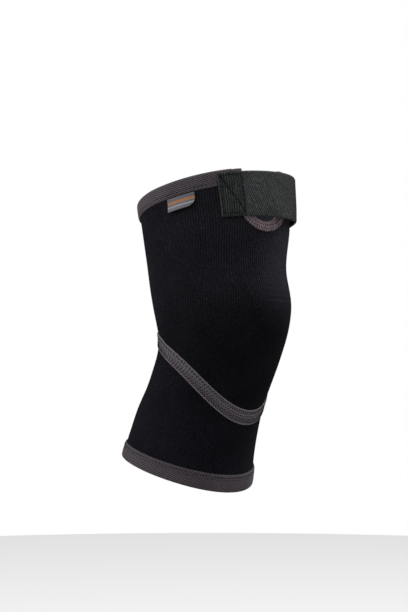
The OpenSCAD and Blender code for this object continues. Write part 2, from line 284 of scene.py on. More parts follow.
def threads(name, ends, radius_mm, material, arch_mm=0.0):
    """One piece of many stitches: each is a slim pill between two ends, given as (turn, level, stand-off)."""
    first, last = np.asarray(ends, float).transpose(1, 2, 0)
    start = skin(*first)
    along = skin(*last) - start
    up = skin(first[0], first[1], first[2] + 1) - start
    up /= np.linalg.norm(up, axis=1, keepdims=True)
    side = np.cross(up, along)
    side /= np.linalg.norm(side, axis=1, keepdims=True)
    swing = np.arange(PILL_SIDES) * 2 * math.pi / PILL_SIDES
    points = []
    for t, width in PILL_RINGS:
        centre = start + along * t + up * (arch_mm * MM * 4 * t * (1 - t))
        for a in swing:
            points.append(centre + (side * math.cos(a) + up * math.sin(a)) * radius_mm * MM * width)
    return finish_mesh(name, np.stack(points, 1), pill_faces(len(ends)), None, material)


# ---- materials ----

class Tree:
    """Small helper that adds nodes and links to a node tree."""

    def __init__(self, tree):
        self.tree = tree

    def add(self, kind, values=(), inputs=()):
        node = self.tree.nodes.new(kind)
        for key, value in dict(values).items():
            setattr(node, key, value)
        for key, value in dict(inputs).items():
            self.feed(node.inputs[key], value)
        return node

    def feed(self, socket, value):
        if isinstance(value, bpy.types.NodeSocket):
            self.tree.links.new(value, socket)
        else:
            socket.default_value = value


class Nodes(Tree):
    """One material's nodes."""

    def __init__(self, name):
        self.material = bpy.data.materials.new(name)
        self.material.use_nodes = True
        super().__init__(self.material.node_tree)
        self.shader = self.tree.nodes["Principled BSDF"]

    def math(self, kind, *values):
        """Result of a math node for one to three values."""
        return self.add("ShaderNodeMath", {"operation": kind}, dict(enumerate(values))).outputs[0]

    def cloth_uv(self):
        """The two coordinates along the cloth, in millimetres."""
        uv = self.add("ShaderNodeUVMap", {"uv_map": "cloth"})
        parts = self.add("ShaderNodeSeparateXYZ", inputs={0: uv.outputs[0]})
        return parts.outputs[0], parts.outputs[1]

    def wave(self, coordinate, pitch_mm):
        """0 to 1 wave along a coordinate."""
        swing = self.math("SINE", self.math("MULTIPLY", coordinate, 2 * math.pi / pitch_mm))
        return self.math("MULTIPLY_ADD", swing, 0.5, 0.5)

    def near(self, value, middle, reach):
        """1 within reach of the middle, else 0."""
        return self.math("COMPARE", value, middle, reach)

    def bell(self, coordinate, middle, reach):
        """1 at the middle, a half at reach from it, and fading out beyond."""
        away = self.math("DIVIDE", self.math("SUBTRACT", coordinate, middle), reach)
        return self.math("DIVIDE", 1.0, self.math("ADD", 1.0, self.math("MULTIPLY", away, away)))

    def above(self, coordinate, low, high):
        """0 below low, 1 above high, smooth between."""
        node = self.add("ShaderNodeMapRange", {"interpolation_type": "SMOOTHSTEP"},
                        {"Value": coordinate, "From Min": low, "From Max": high})
        return node.outputs[0]

    def noise(self, scale, detail=3.0, roughness=0.6):
        place = self.add("ShaderNodeTexCoord")
        node = self.add("ShaderNodeTexNoise", inputs={"Vector": place.outputs["Object"], "Scale": scale,
                                                      "Detail": detail, "Roughness": roughness})
        return node.outputs[0]

    def ramp(self, factor, stops):
        node = self.add("ShaderNodeValToRGB", inputs={0: factor})
        elements = node.color_ramp.elements
        while len(elements) < len(stops):
            elements.new(0.5)
        for element, (place, colour) in zip(elements, stops):
            element.position = place
            element.color = (*colour, 1)
        return node.outputs[0]

    def tones(self, factor, colour, *stops):
        """A ramp of one colour's tones, given as (place, brightness)."""
        return self.ramp(factor, [(place, tuple(c * k for c in colour)) for place, k in stops])

    def greys(self, factor, *stops):
        """A ramp of greys, given as (place, grey)."""
        return self.tones(factor, (1, 1, 1), *stops)

    def mix(self, factor, a, b, kind="MIX"):
        kinds = {"data_type": "RGBA", "blend_type": kind}
        return self.add("ShaderNodeMix", kinds, {0: factor, 6: a, 7: b}).outputs[2]

    def layers(self, first, *shades):
        """A colour multiplied by each shade."""
        for shade in shades:
            first = self.mix(1.0, first, shade, "MULTIPLY")
        return first

    def relief(self, first, share, second):
        """Height made of a share of one pattern, and of another for the rest."""
        return self.math("ADD", self.math("MULTIPLY", first, share), self.math("MULTIPLY", second, 1 - share))

    def bump(self, height, depth_mm, strength):
        node = self.add("ShaderNodeBump", inputs={"Strength": strength, "Distance": depth_mm * MM,
                                                  "Height": height})
        self.feed(self.shader.inputs["Normal"], node.outputs[0])

    def surface(self, roughness, specular, sheen=0.0, sheen_tint=(1, 1, 1), sheen_roughness=0.4):
        values = {"Roughness": roughness, "Specular IOR Level": specular, "Sheen Weight": sheen,
                  "Sheen Roughness": sheen_roughness, "Sheen Tint": (*sheen_tint, 1)}
        for key, value in values.items():
            self.feed(self.shader.inputs[key], value)

    def colour(self, value):
        self.feed(self.shader.inputs["Base Color"], value)


def knit_material(name, colour, rib_mm, course_mm, contrast, paler=None):
    """Rib knit: light crests and dark grooves along the ribs, small loops across them, and lint.

    Over the front of the thigh, where the knit is stretched most, the crests open out and the light falls on
    them: a patch of painted sheen makes them paler. The last argument holds the middle of that patch round
    the leg, its half width, the height where it starts, all in millimetres, and how much paler it is.
    """
    n = Nodes(name)
    u, v = n.cloth_uv()
    rib = n.wave(u, rib_mm)
    loops = n.wave(n.math("ADD", v, n.math("MULTIPLY", rib, course_mm * 0.5)), course_mm)
    fuzz = n.noise(620, 4)
    rib_colour = n.tones(rib, colour, (0.0, 1 - contrast), (1.0, 1 + contrast))
    loop_shade = n.greys(loops, (0.0, 0.72), (1.0, 1.2))
    lint = n.greys(fuzz, (0.35, 0.6), (0.6, 1.1), (0.8, 2.4))
    blotch = n.greys(n.noise(30, 2), (0.3, 0.85), (0.7, 1.15))
    shades = [loop_shade, lint, blotch]
    # painted sheen: paler over the stretched front of the thigh, where the light falls
    if paler:
        middle, reach, start, sheen_gain = paler
        sheen_spread = n.math("MULTIPLY", n.bell(u, middle, reach), n.above(v, start, start + 75))
        shades.append(n.greys(sheen_spread, (0.0, 1.0), (1.0, sheen_gain)))
    n.colour(n.layers(rib_colour, *shades))
    n.bump(n.relief(loops, 0.5, fuzz), 0.18, 0.7)
    n.surface(0.9, 0.0, 0.008, (0.9, 0.93, 1.0), 0.5)
    return n.material


def twill_material(name, colour, pitch_mm, slant, contrast, loop_mm=1.2, ends=None):
    """Woven elastic: cords that lean from the tape by a slant in degrees, loops along them, and gaps.

    ends holds the middle of a strip, half the length left unshaded, and the painted shade that darkens both
    ends, where they run up under the strap and its tab.
    """
    n = Nodes(name)
    u, v = n.cloth_uv()
    a = math.radians(slant)
    over = n.math("ADD", n.math("MULTIPLY", u, math.sin(a)), n.math("MULTIPLY", v, math.cos(a)))
    along = n.math("SUBTRACT", n.math("MULTIPLY", u, math.cos(a)), n.math("MULTIPLY", v, math.sin(a)))
    cord = n.wave(over, pitch_mm)
    loops = n.wave(n.math("ADD", along, n.math("MULTIPLY", over, 0.5)), loop_mm)
    base = n.tones(cord, colour, (0.05, 1 - contrast), (0.6, 1 + contrast / 2), (1.0, 1 + contrast))
    loop_shade = n.greys(loops, (0.0, 0.7), (1.0, 1.22))
    grain = n.greys(n.noise(700, 3), (0.3, 0.7), (0.75, 1.35))
    blotch = n.greys(n.noise(45, 2), (0.3, 0.9), (0.7, 1.1))
    shades = [loop_shade, grain, blotch]
    # painted shade: both ends darken where they run up under the strap and its tab
    if ends:
        middle, reach, painted_end_shade = ends
        away = n.math("ABSOLUTE", n.math("SUBTRACT", u, middle))
        shades.append(n.ramp(n.above(away, reach, reach + 8), [(0.0, (1.0,) * 3), (1.0, painted_end_shade)]))
    n.colour(n.layers(base, *shades))
    n.bump(n.relief(cord, 0.6, loops), 0.22, 0.8)
    n.surface(0.85, 0.03, 0.02, (1, 0.98, 1))
    return n.material


def tape_material(name, colour, rows, edge_mm):
    """Taut elastic tape: fine cords along it, shadowed rows where it is stitched, and paler selvedges."""
    n = Nodes(name)
    u, v = n.cloth_uv()
    cord = n.wave(v, 1.15)
    loops = n.wave(n.math("ADD", u, n.math("MULTIPLY", v, 0.3)), 1.35)
    base = n.tones(cord, colour, (0.0, 0.7), (1.0, 1.3))
    loop_shade = n.greys(loops, (0.0, 0.75), (1.0, 1.2))
    grain = n.greys(n.noise(700, 3), (0.3, 0.7), (0.75, 1.35))
    sunk = 0.0
    for row in rows:
        sunk = n.math("ADD", n.near(v, row, 0.38), sunk)
    shadow = n.greys(sunk, (0.0, 1.0), (1.0, 0.78))
    edge = n.near(n.math("ABSOLUTE", v), edge_mm, 0.6)
    selvedge = n.greys(edge, (0.0, 1.0), (1.0, 1.22))
    n.colour(n.layers(base, loop_shade, grain, shadow, selvedge))
    n.bump(n.relief(cord, 0.6, loops), 0.22, 0.8)
    n.surface(0.85, 0.03, 0.02, (1, 0.98, 1))
    return n.material


def webbing_material(name, colour, rib_mm, contrast, sewn=None):
    """Ribbed webbing: threads across it in dark and light pairs, with sparse paler glints.

    sewn is the width and height of a piece that a row of stitches crosses from corner to corner; painted
    shade darkens the crease that this row pulls into the webbing.
    """
    n = Nodes(name)
    u, v = n.cloth_uv()
    cord = n.wave(u, rib_mm)
    weft = n.wave(n.math("ADD", v, n.math("MULTIPLY", cord, 0.8)), 1.5)
    fuzz = n.noise(560, 4, 0.7)
    base = n.tones(cord, colour, (0.0, 1 - contrast), (1.0, 1 + contrast))
    weft_shade = n.greys(weft, (0.0, 0.85), (1.0, 1.12))
    glints = n.greys(fuzz, (0.35, 0.5), (0.55, 1.0), (0.74, 2.3))
    blotch = n.greys(n.noise(50, 2), (0.3, 0.85), (0.7, 1.15))
    hue = n.ramp(n.noise(420, 1), [(0.3, (0.94, 1.0, 0.9)), (0.7, (0.98, 1.0, 1.12))])
    shades = [weft_shade, glints, blotch, hue]
    if sewn:
        diagonal = n.math("ADD", n.math("DIVIDE", u, sewn[0]), n.math("DIVIDE", v, sewn[1]))
        # painted shade in the crease that the diagonal row of stitches pulls in
        shades.append(n.greys(n.near(diagonal, 1.0, 0.05), (0.0, 1.0), (1.0, 0.72)))
    n.colour(n.layers(base, *shades))
    n.bump(n.relief(weft, 0.6, fuzz), 0.15, 0.7)
    n.surface(0.85, 0.02, 0.01)
    return n.material


def thread_material(name, colour):
    n = Nodes(name)
    twist = n.noise(1500, 2)
    n.colour(n.tones(twist, colour, (0.3, 0.75), (0.7, 1.3)))
    n.bump(twist, 0.05, 0.5)
    n.surface(0.9, 0.02)
    return n.material


def label_material(name):
    """Satin label: fine weave with two plain woven stripes."""
    n = Nodes(name)
    u, v = n.cloth_uv()
    weft = n.wave(v, 0.5)
    warp = n.wave(u, 0.45)
    base = n.ramp(n.math("MULTIPLY", n.math("ADD", weft, warp), 0.5),
                  [(0.0, (0.048, 0.046, 0.058)), (1.0, (0.080, 0.076, 0.092))])
    low_stripe = n.near(v, 3.6, 0.7)
    high_stripe = n.near(v, 7.4, 1.2)
    striped = n.mix(low_stripe, base, (0.15, 0.15, 0.16, 1))
    n.colour(n.mix(high_stripe, striped, (0.19, 0.075, 0.020, 1)))
    n.bump(n.math("ADD", weft, warp), 0.05, 0.5)
    n.surface(0.55, 0.15, 0.05)
    return n.material


def plastic_material(name, colour, roughness):
    n = Nodes(name)
    grain = n.noise(600, 2)
    n.colour(n.tones(grain, colour, (0.3, 0.85), (0.7, 1.2)))
    n.bump(grain, 0.04, 0.4)
    n.surface(roughness, 0.4)
    return n.material


def pile_material(name, colour):
    n = Nodes(name)
    pile = n.noise(1400, 5, 0.7)
    n.colour(n.tones(pile, colour, (0.35, 0.5), (0.6, 1), (0.8, 1.8)))
    n.bump(pile, 0.5, 0.9)
    n.surface(0.95, 0.02, 0.06, (1, 1, 1), 0.5)
    return n.material


FABRIC_R = 70.0           # radius at which the fabrics' cloth coordinates run true, mm
UPPER_RIBS = 184
RIB = 2 * math.pi * FABRIC_R / UPPER_RIBS
DEGREE_MM = 1.3           # length of one degree along the strap, mm
CORD_PITCH = 1.65         # pitch of the slanting cords on the hems, mm
STRAP_RIB = 2.2           # rib pitch of the strap's webbing, mm
NEEDLE_ROWS = (5.1, 3.5, 0.7, -1.5, -3.3, -4.9)  # heights of the tape's stitch rows over its middle
# the last values place the painted sheen patch over the stretched front of the thigh
UPPER_KNIT = knit_material("upper_knit", (0.0050, 0.0050, 0.0064), RIB, 1.1, 0.38, (263, 52, 65, 4.4))
LOWER_KNIT = knit_material("lower_knit", (0.0052, 0.0050, 0.0068), 1.5, 0.9, 0.18)
TOP_ELASTIC = twill_material("top_hem_elastic", (0.0440, 0.0375, 0.0430), CORD_PITCH, 35, 0.6)
BOTTOM_ELASTIC = twill_material("bottom_hem_elastic", (0.0385, 0.0325, 0.0370), CORD_PITCH, -37, 0.6)
TAPE_ELASTIC = tape_material("tape_elastic", (0.084, 0.074, 0.084), NEEDLE_ROWS, TAPE_W / 2 - 0.6)
NOTCH_RIM = 136           # length of the notch's binding along its U, mm
# the gathered elastic's ends carry painted shade under the strap and its tab
GATHERED_ELASTIC = twill_material("gathered_elastic", (0.130, 0.099, 0.111), 2.6, 90, 0.35, 1.7,
                                  (NOTCH_RIM / 2, 50, (0.42, 0.49, 0.48)))
STRAP_WEBBING = webbing_material("strap_webbing", (0.0310, 0.0310, 0.0310), STRAP_RIB, 0.62)
# the tab gets painted shade along its diagonal row of stitches
TAB_WEBBING = webbing_material("tab_webbing", (0.0210, 0.0220, 0.0217), 2.1, 0.5,
                               (TAB_SPAN * DEGREE_MM, STRAP_H))
TAB_THREAD = thread_material("tab_thread", (0.0050, 0.0056, 0.0050))
DARK_THREAD = thread_material("dark_thread", (0.0025, 0.0022, 0.0026))
BLACK_THREAD = thread_material("black_thread", (0.010, 0.010, 0.011))
LABEL_CLOTH = label_material("label_cloth")
HOOK_PLASTIC = plastic_material("hook_plastic", (0.012, 0.012, 0.013), 0.45)
LOOP_PILE = pile_material("loop_pile", (0.007, 0.007, 0.008))


def bends(piece):
    """Bakes the piece's transform into its mesh; its shape, from skin, already follows the thigh above the
    knee and the calf below it.
    """
    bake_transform(piece)


# ---- the two fabrics ----

SEAM_DIP = 0.45           # how far the taut tape draws the fabric in
SEAM_GAP = 0.15           # how far each fabric ends from the seam's middle line
EDGE_INSET = 0.7          # how far a fabric ends short of a binding's fold
NOTCH_INSET = 1.6         # how far the upper fabric ends short of the notch's outline
FABRIC_SINK = 0.05        # how far the fabric's face lies under the shape's, clear of what is sewn on it
RIB_COLUMNS = 3           # columns of the mesh to one rib


def ripple(turn, s):
    """Slow unevenness of worn knit, and shallow folds over the kneecap's top."""
    slow = 0.2 * np.sin(s / 9.5 + 3 * sind(turn)) * np.cos(np.radians(3 * turn + 2.2 * s))
    near = hump(turn, 11, 21) * hump(s, 17, 8)
    return slow + 0.34 * near * np.sin(2 * math.pi * (s + 0.03 * turn) / 4.3)


def seam_pull(turn, s):
    """How far the fabric is drawn in beside the tape."""
    return SEAM_DIP * hump(s, seam_line(turn), 13)


def rows_through(low, high, stops, counts):
    """Rows from low to high that also pass through fixed levels, with a number of steps between each."""
    ends = [low] + [np.full_like(low, stop) for stop in stops] + [high]
    parts = [a + (b - a) * np.arange(n) / n for a, b, n in zip(ends, ends[1:], counts)]
    return np.concatenate(parts + [high], 1)


def fabric(name, low_line, high_line, ribs, stops, counts, rib_depth, twist, material, covered):
    """Tube of rib knit between two lines.

    The ribs lean by a twist below the kneecap's top, and they lie flat where bindings and tape cover them.
    """
    columns = ribs * RIB_COLUMNS
    start = (np.arange(columns) * 360 / columns - 180)[:, None]
    s = rows_through(low_line(start), high_line(start), stops, counts)
    window = hump(start, -5, 50)
    turn = start + twist * window * np.minimum(s - 20, 0)
    s = rows_through(low_line(turn[:, :1]), high_line(turn[:, -1:]), stops, counts)
    rib = np.cos(np.arange(columns) * 2 * math.pi / RIB_COLUMNS)[:, None]
    fade = ease((s - low_line(turn) - covered[0]) / 4) * ease((high_line(turn) - covered[1] - s) / 4)
    off = rib_depth * rib * fade + ripple(turn, s) * fade - FABRIC_SINK - seam_pull(turn, s)
    keep = None
    if name == "upper_fabric":
        centre_turn = (turn[:, 1:] + turn[:, :-1]) / 2 + 180 / columns
        centre_s = (s[:, 1:] + s[:, :-1]) / 2
        keep = (to_notch(centre_turn, centre_s) > NOTCH_INSET) | (np.abs(centre_turn) > 90)
    u = np.arange(columns + 1)[:, None] * 2 * math.pi * FABRIC_R / columns
    v = np.concatenate([s, s[:1]]) - float(low_line(0))
    return thicken(grid(name, skin(turn, s, off), material, u, v, ring=True, keep=keep), FABRIC_T)


def upper_fabric():
    piece = fabric("upper_fabric", lambda turn: seam_line(turn) + SEAM_GAP,
                   lambda turn: top_line(turn) - EDGE_INSET,
                   ribs=UPPER_RIBS, stops=(4, 30), counts=(29, 26, 27), rib_depth=0.15, twist=0.27,
                   material=UPPER_KNIT, covered=(7, 13))
    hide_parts("thigh_panel", "knee_panel")
    bends(piece)


def lower_fabric():
    piece = fabric("lower_fabric", lambda turn: bottom_line(turn) + EDGE_INSET,
                   lambda turn: seam_line(turn) - SEAM_GAP,
                   ribs=210, stops=(), counts=(38,), rib_depth=0.06, twist=0.0,
                   material=LOWER_KNIT, covered=(15, 7))
    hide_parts("calf_panel")
    bends(piece)


# ---- tape and bindings ----

TAPE_R = 62.0             # radius at which the tape's cloth coordinate runs true, mm
BINDING_INNER_T = 1.4     # how far a binding's inner leg stands in from the fabric
BINDING_GAP = 0.2         # clearance between a binding and the fabric in it
BINDING_ROWS = 22         # points across a binding's outer leg
FOLD_START = 1.4          # distance from the edge where a binding begins to curve over it


def section(points, visible):
    """Splits a closed section into stand-offs and distances, and marks its visible points, the first ones."""
    off, distance = np.array(points).T
    return off, distance, np.arange(len(off)) < visible


def tape_section():
    """Section of the seam tape, with distances up from its middle line."""
    up = np.linspace(-TAPE_W / 2, TAPE_W / 2, 71)
    edge = np.abs(up) / (TAPE_W / 2)
    top = TAPE_T * (1 - 0.6 * ease((edge - 0.93) / 0.07)) + 0.12 * hump(edge, 0.89, 0.05)
    for row in NEEDLE_ROWS:
        top = top - 0.22 * hump(up, row, 0.4)
    outer = np.stack([top, up], -1)
    inner = np.stack([np.full(15, 0.1), up[::-5]], -1)
    return section(np.concatenate([outer, inner]), len(up))


def folded(outer_leg, inner_leg):
    """Section of a binding folded over an edge, with distances from that edge."""
    down = np.linspace(outer_leg, FOLD_START, BINDING_ROWS)
    t = (outer_leg - down) / (outer_leg - FOLD_START)
    sewn_edge = 0.75 * (1 - ease(t / 0.08))
    off = HEM_PROUD - sewn_edge + 0.18 * np.sin(math.pi * t) - 0.12 * ease((t - 0.85) / 0.15)
    outer = list(zip(off, down))
    inside = -FABRIC_T - BINDING_INNER_T
    centre, half = (off[-1] + inside) / 2, (off[-1] - inside) / 2
    swing = np.radians(np.arange(15, 180, 15))
    fold = [(centre + half * math.cos(a), FOLD_START - 2.3 * math.sin(a)) for a in swing]
    inner = [(inside, d) for d in np.linspace(FOLD_START, inner_leg, 5)]
    inner_face = -FABRIC_T - BINDING_GAP
    back = [(inner_face, inner_leg), (inner_face, 0.45), (BINDING_GAP, 0.45)]
    back += [(BINDING_GAP, d) for d in np.linspace(2, outer_leg, 5)]
    return section(outer + fold + inner + back, BINDING_ROWS + len(fold))


def knee_tape():
    """Tape over the oblique seam, lying in the dip that it pulls into the sleeve."""
    columns = 1040
    face, up, on_top = tape_section()
    turn = (np.arange(columns) * 360 / columns - 180)[:, None]
    weave = 0.06 * np.cos(np.arange(columns) * math.pi / 2)[:, None]
    s = seam_line(turn) + up
    off = face + on_top * weave - seam_pull(turn, s)
    u = np.arange(columns + 1)[:, None] * 2 * math.pi * TAPE_R / columns
    v = np.append(up, up[0])
    piece = grid("knee_seam_tape_band", skin(turn, s, off), TAPE_ELASTIC, u, v, ring=True, loop=True)
    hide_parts("knee_seam_tape")
    bends(piece)


def row_of(turns, level_at, up, off, half):
    """Ends of a row of stitches along a line round the leg."""
    return [[(t, level_at(t) + up, off) for t in (turn - half, turn + half)] for turn in turns]


def knee_tape_stitches():
    """Needle rows: dots near the tape's upper edge and middle, longer and closer stitches further down."""
    ends = []
    for k, up in enumerate(NEEDLE_ROWS):
        pitch = 2.75 - 0.08 * k
        half = 0.45 if k < 3 else 0.65
        off = TAPE_T - 0.05 - float(seam_pull(0, seam_line(0) + up))
        ends += row_of(np.arange(-180, 180, pitch), seam_line, up, off, half)
    piece = threads("knee_seam_needle_rows", ends, 0.54, DARK_THREAD)
    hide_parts("knee_seam_stitches")
    bends(piece)


HEM_STEP = 0.45           # column spacing of the bindings, mm
HEM_INNER_LEG, NOTCH_INNER_LEG = 8, 6  # how far the bindings reach down inside the sleeve
TOP_GROOVE, BOTTOM_GROOVE = 3.2, 2.6  # distance of the stitched groove from each binding's edge
BINDING_OUT = NOTCH_R + NOTCH_BINDING_W + 0.1
HEM_START, HEM_STOP = float(across(BINDING_OUT)), float(across(-BINDING_OUT)) + 360


def hem(name, node, turns, line_at, flip, leg, ring, material, slant, groove):
    """Folded binding with slanting cords over its outer leg and fold, and a groove along its stitch row."""
    face, d, shown = folded(leg, HEM_INNER_LEG)
    turn = turns[:, None]
    columns = len(turns)
    u = np.arange(columns + 1)[:, None] * HEM_STEP
    v = -flip * d
    a = math.radians(slant)
    cord = np.cos((u[:-1] * math.sin(a) + v * math.cos(a)) * 2 * math.pi / CORD_PITCH)
    off = face + shown * (0.10 * cord - 0.22 * hump(d, leg - groove, 0.45))
    points = skin(turn, line_at(turn) + v, off)
    if flip > 0:
        points, v = points[:, ::-1], v[::-1]
    piece = grid(name, points, material, u if ring else u[:-1], np.append(v, v[0]), ring=ring, loop=True,
                 capped=not ring)
    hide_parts(node)
    return piece


def hem_columns(start, stop, girth_mm):
    """Angles of a hem's columns along a length of binding."""
    count = int(girth_mm / HEM_STEP)
    return start + (stop - start) * np.arange(count) / count


def top_hem():
    turns = hem_columns(HEM_START, HEM_STOP, 380)
    piece = hem("top_hem_band", "top_hem_binding", turns, top_line, 1, TOP_HEM_H, False, TOP_ELASTIC, 35,
                TOP_GROOVE)
    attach(piece, "thigh")


def bottom_hem():
    turns = hem_columns(-180, 180, 400)
    piece = hem("bottom_hem_band", "bottom_hem_binding", turns, bottom_line, -1, BOTTOM_HEM_H, True,
                BOTTOM_ELASTIC, -37, BOTTOM_GROOVE)
    bends(piece)


NOTCH_ARCS = (2.6, 5.2)   # distances of the stitch arcs from the notch's fold


def notch_binding():
    """Binding gathered round the U: ridges across it and a scalloped outer edge."""
    columns = 324
    gathers = 40
    v = np.linspace(-1, 1, columns)[:, None]
    face, d, shown = folded(NOTCH_BINDING_W, NOTCH_INNER_LEG)
    swell = np.sin(v * math.pi * gathers) + 0.4 * np.sin(v * math.pi * gathers * 2.3 + 1)
    outward = ease((d - 1) / NOTCH_BINDING_W)
    off = face + shown * swell * (0.12 + 0.26 * outward)
    out = d + 0.6 * swell * ease((d - 5) / 2.5) * shown
    row = -0.25 * shown * sum(hump(d, arc, 0.5) for arc in NOTCH_ARCS)
    turn, level = notch_point(v, out)
    points = skin(turn, level, off + row)
    u = np.linspace(0, NOTCH_RIM, columns)[:, None]
    piece = grid("notch_edge_band", points, GATHERED_ELASTIC, u, np.append(d, d[0]), loop=True, capped=True)
    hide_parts("notch_binding")
    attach(piece, "thigh")


def notch_stitches():
    """Two arcs of dark needle holes round the notch."""
    ends = []
    count = 40
    for out, shift in zip(NOTCH_ARCS, (0.0, 0.5)):
        for k in range(count):
            v = -0.96 + (k + shift) * 1.92 / count
            ends.append([(*notch_point(v + half, out), HEM_PROUD + 0.15) for half in (-0.008, 0.008)])
    piece = threads("notch_needle_rows", ends, 0.5, DARK_THREAD)
    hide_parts("notch_stitches")
    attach(piece, "thigh")


# ---- strap ----

HINGE_TURN = float(across(-NOTCH_R))
TAB_START = HINGE_TURN - TAB_SPAN
STRAP_LOW, STRAP_HIGH = STRAP_LEVEL - STRAP_H / 2, STRAP_LEVEL + STRAP_H / 2
STRAP_BASE = HEM_PROUD + SEWN_GAP
STRAP_FAR = STRAP_BASE + 2.3  # stand-off where it lies on its own patches
STRAP_BULGE = 2.2         # how much further it stands off over the notch
STRAP_SAG = 0.6           # how much lower the strap lies past the notch than at its tab
STRAP_STRETCH = 1.8       # how much lower still its lower edge lies there
STRAP_CORNER = 6          # size of the rounded corners at its far end: degrees long, mm high
RIB_LEAN = 36             # degrees that the strap's ribs lean beside the tab
HEM_DROP_START = 40       # angle from which the hem drops away under the strap


def hem_drop(turn):
    """How far the hem has dropped below its height at the strap's front."""
    drop = np.maximum(top_line(HEM_DROP_START) - top_line(turn), 0)
    return np.where(np.asarray(turn) < HEM_DROP_START, 0, drop)


def strap_drop(turn):
    """How far the strap has dropped: a little past its tab, then part of the way that the hem does."""
    return STRAP_SAG * ease((turn - HINGE_TURN) / 45) + 0.25 * hem_drop(turn)


def strap_off(turn):
    """Stand-off of the strap's inner face."""
    far = ease((turn - HINGE_TURN) / (STRAP_END - HOOK_SPAN - HINGE_TURN))
    bulge = ease((turn - HINGE_TURN) / 40) * (1 - ease((turn - 35) / 30))
    return STRAP_BASE + (STRAP_FAR - STRAP_BASE) * far + STRAP_BULGE * bulge


def strap():
    """Webbing with ribs across it, which fan out from the tab's lower corner."""
    t, w = shares(361, 27)
    turn = HINGE_TURN - 0.8 + (STRAP_END - HINGE_TURN + 0.8) * t
    lean = RIB_LEAN * (1 - ease((turn - HINGE_TURN) / 60))
    phase = (turn - HINGE_TURN) * DEGREE_MM - (w - 0.1) * STRAP_H * np.tan(np.radians(lean))
    u = np.maximum(turn - STRAP_END + STRAP_CORNER, 0)
    cut = STRAP_CORNER - np.sqrt(np.maximum(STRAP_CORNER**2 - np.minimum(u, STRAP_CORNER) ** 2, 0.01))
    stretch = STRAP_STRETCH * ease((turn - HINGE_TURN) / 25) * (1 - ease((turn - 25) / 25))
    low = STRAP_LOW + cut - strap_drop(turn) - stretch
    high = STRAP_HIGH - cut - strap_drop(turn)
    s = low + (high - low) * w
    rib = np.cos(phase * 2 * math.pi / STRAP_RIB)
    rim = np.minimum(w, 1 - w)
    edge = ease(rim / 0.05)
    selvedge = 0.15 * hump(rim, 0.035, 0.015)
    flare = 1.6 * ease((turn - 5) / 35) * (1 - ease((turn - 55) / 20)) * (w - 0.85)
    off = strap_off(turn) + STRAP_T - 0.1 + 0.12 * rib * edge + selvedge - 0.35 * (1 - edge) + flare
    piece = grid("strap_band", skin(turn, s, off), STRAP_WEBBING, phase, STRAP_H * w)
    thicken(piece, STRAP_T - 0.2)
    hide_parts("strap_webbing")
    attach(piece, "strap")


def strap_tab():
    """The strap's folded end, sewn down beside the notch."""
    t, w = shares(61, 61)
    turn = TAB_START + TAB_SPAN * t
    s = STRAP_LOW + STRAP_H * w
    across_mm = (turn - TAB_START) * DEGREE_MM
    rib = np.cos(across_mm * 2 * math.pi / STRAP_RIB)
    rim = np.minimum(w, 1 - w)
    edge = ease(np.minimum(rim / 0.04, t / 0.06))
    seam = hump(rim, 0.07, 0.018) + hump(t, 0.1, 0.03) + hump(t, 0.93, 0.03) + hump(t + w, 1, 0.045)
    puff = 0.35 * np.sin(math.pi * np.clip((t - 0.1) / 0.83, 0, 1)) * np.sin(math.pi * w)
    off = layer_height(turn, s) + SEWN_GAP + STRAP_T - 0.1 + (0.11 * rib + puff) * edge
    off = off - 0.35 * np.minimum(seam, 1) - 0.7 * (1 - edge)
    piece = grid("strap_tab", skin(turn, s, off), TAB_WEBBING, across_mm, STRAP_H * w)
    thicken(piece, STRAP_T - 0.3)
    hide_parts("strap_anchor_tab")
    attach(piece, "thigh")


def stitch_run(start, stop, count, height):
    """Ends of the stitches from one angle and level to another, which drop with the hem."""
    marks = (np.arange(count)[:, None] + (0.2, 0.8)) / count
    turn = start[0] + (stop[0] - start[0]) * marks
    s = start[1] + (stop[1] - start[1]) * marks - hem_drop(turn)
    return list(np.stack([turn, s, layer_height(turn, s) + height], -1))


def stitch_box(turns, levels, across_count, up_count, height):
    """Ends of a rectangle of stitches between two angles and two levels."""
    ends = []
    for level in levels:
        ends += stitch_run((turns[0], level), (turns[1], level), across_count, height)
    for turn in turns:
        ends += stitch_run((turn, levels[0]), (turn, levels[1]), up_count, height)
    return ends


def tab_stitches():
    """Rectangle of stitches near the tab's edges, and a row from its upper left to its lower right."""
    left, right, low, high = TAB_START + 1.8, HINGE_TURN - 1.3, STRAP_LOW + 2.8, STRAP_HIGH - 2.8
    height = SEWN_GAP + STRAP_T - 0.15
    ends = stitch_box((left, right), (low, high), 8, 14, height)
    ends += stitch_run((left, high), (right, low), 16, height)
    piece = threads("strap_tab_stitches", ends, 0.42, TAB_THREAD, 0.15)
    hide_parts("anchor_stitches")
    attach(piece, "thigh")


HOOK_INSET = 3            # how far the hook patch ends inside the strap's edges
HOOK_BASE = STRAP_BASE + 1.15  # stand-off of the hooks' tips


def hook_patch():
    """Moulded tape of small hooks on the inner face of the strap's end."""
    t, w = shares(25, 17)
    start = STRAP_END - 1 - HOOK_SPAN
    turn = start + HOOK_SPAN * t
    low, height = STRAP_LOW + HOOK_INSET, STRAP_H - 2 * HOOK_INSET
    points = skin(turn, low + height * w - strap_drop(turn), HOOK_BASE + 0.8)
    piece = grid("hook_backing", points, HOOK_PLASTIC, 30 * t, height * w)
    thicken(piece, 0.4)
    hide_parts("strap_hook_patch")
    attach(piece, "strap")
    ends = []
    for angle in np.linspace(start + 0.8, start + HOOK_SPAN - 0.8, 20):
        for share in np.linspace(0.04, 0.96, 20):
            level = low + height * share - float(strap_drop(angle))
            ends.append(((angle, level, HOOK_BASE + 0.5), (angle + 0.25, level + 0.2, HOOK_BASE - 0.1)))
    hooks = threads("hook_field", ends, 0.17, HOOK_PLASTIC)
    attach(hooks, "strap")


LOOP_START = STRAP_END - HOOK_SPAN - 4
LOOP_T = 0.75             # thickness of the loop patch
LOOP_INSET = 1.5          # how far it ends inside the strap's edges
NAP = 0.11                # height of its nap's lumps


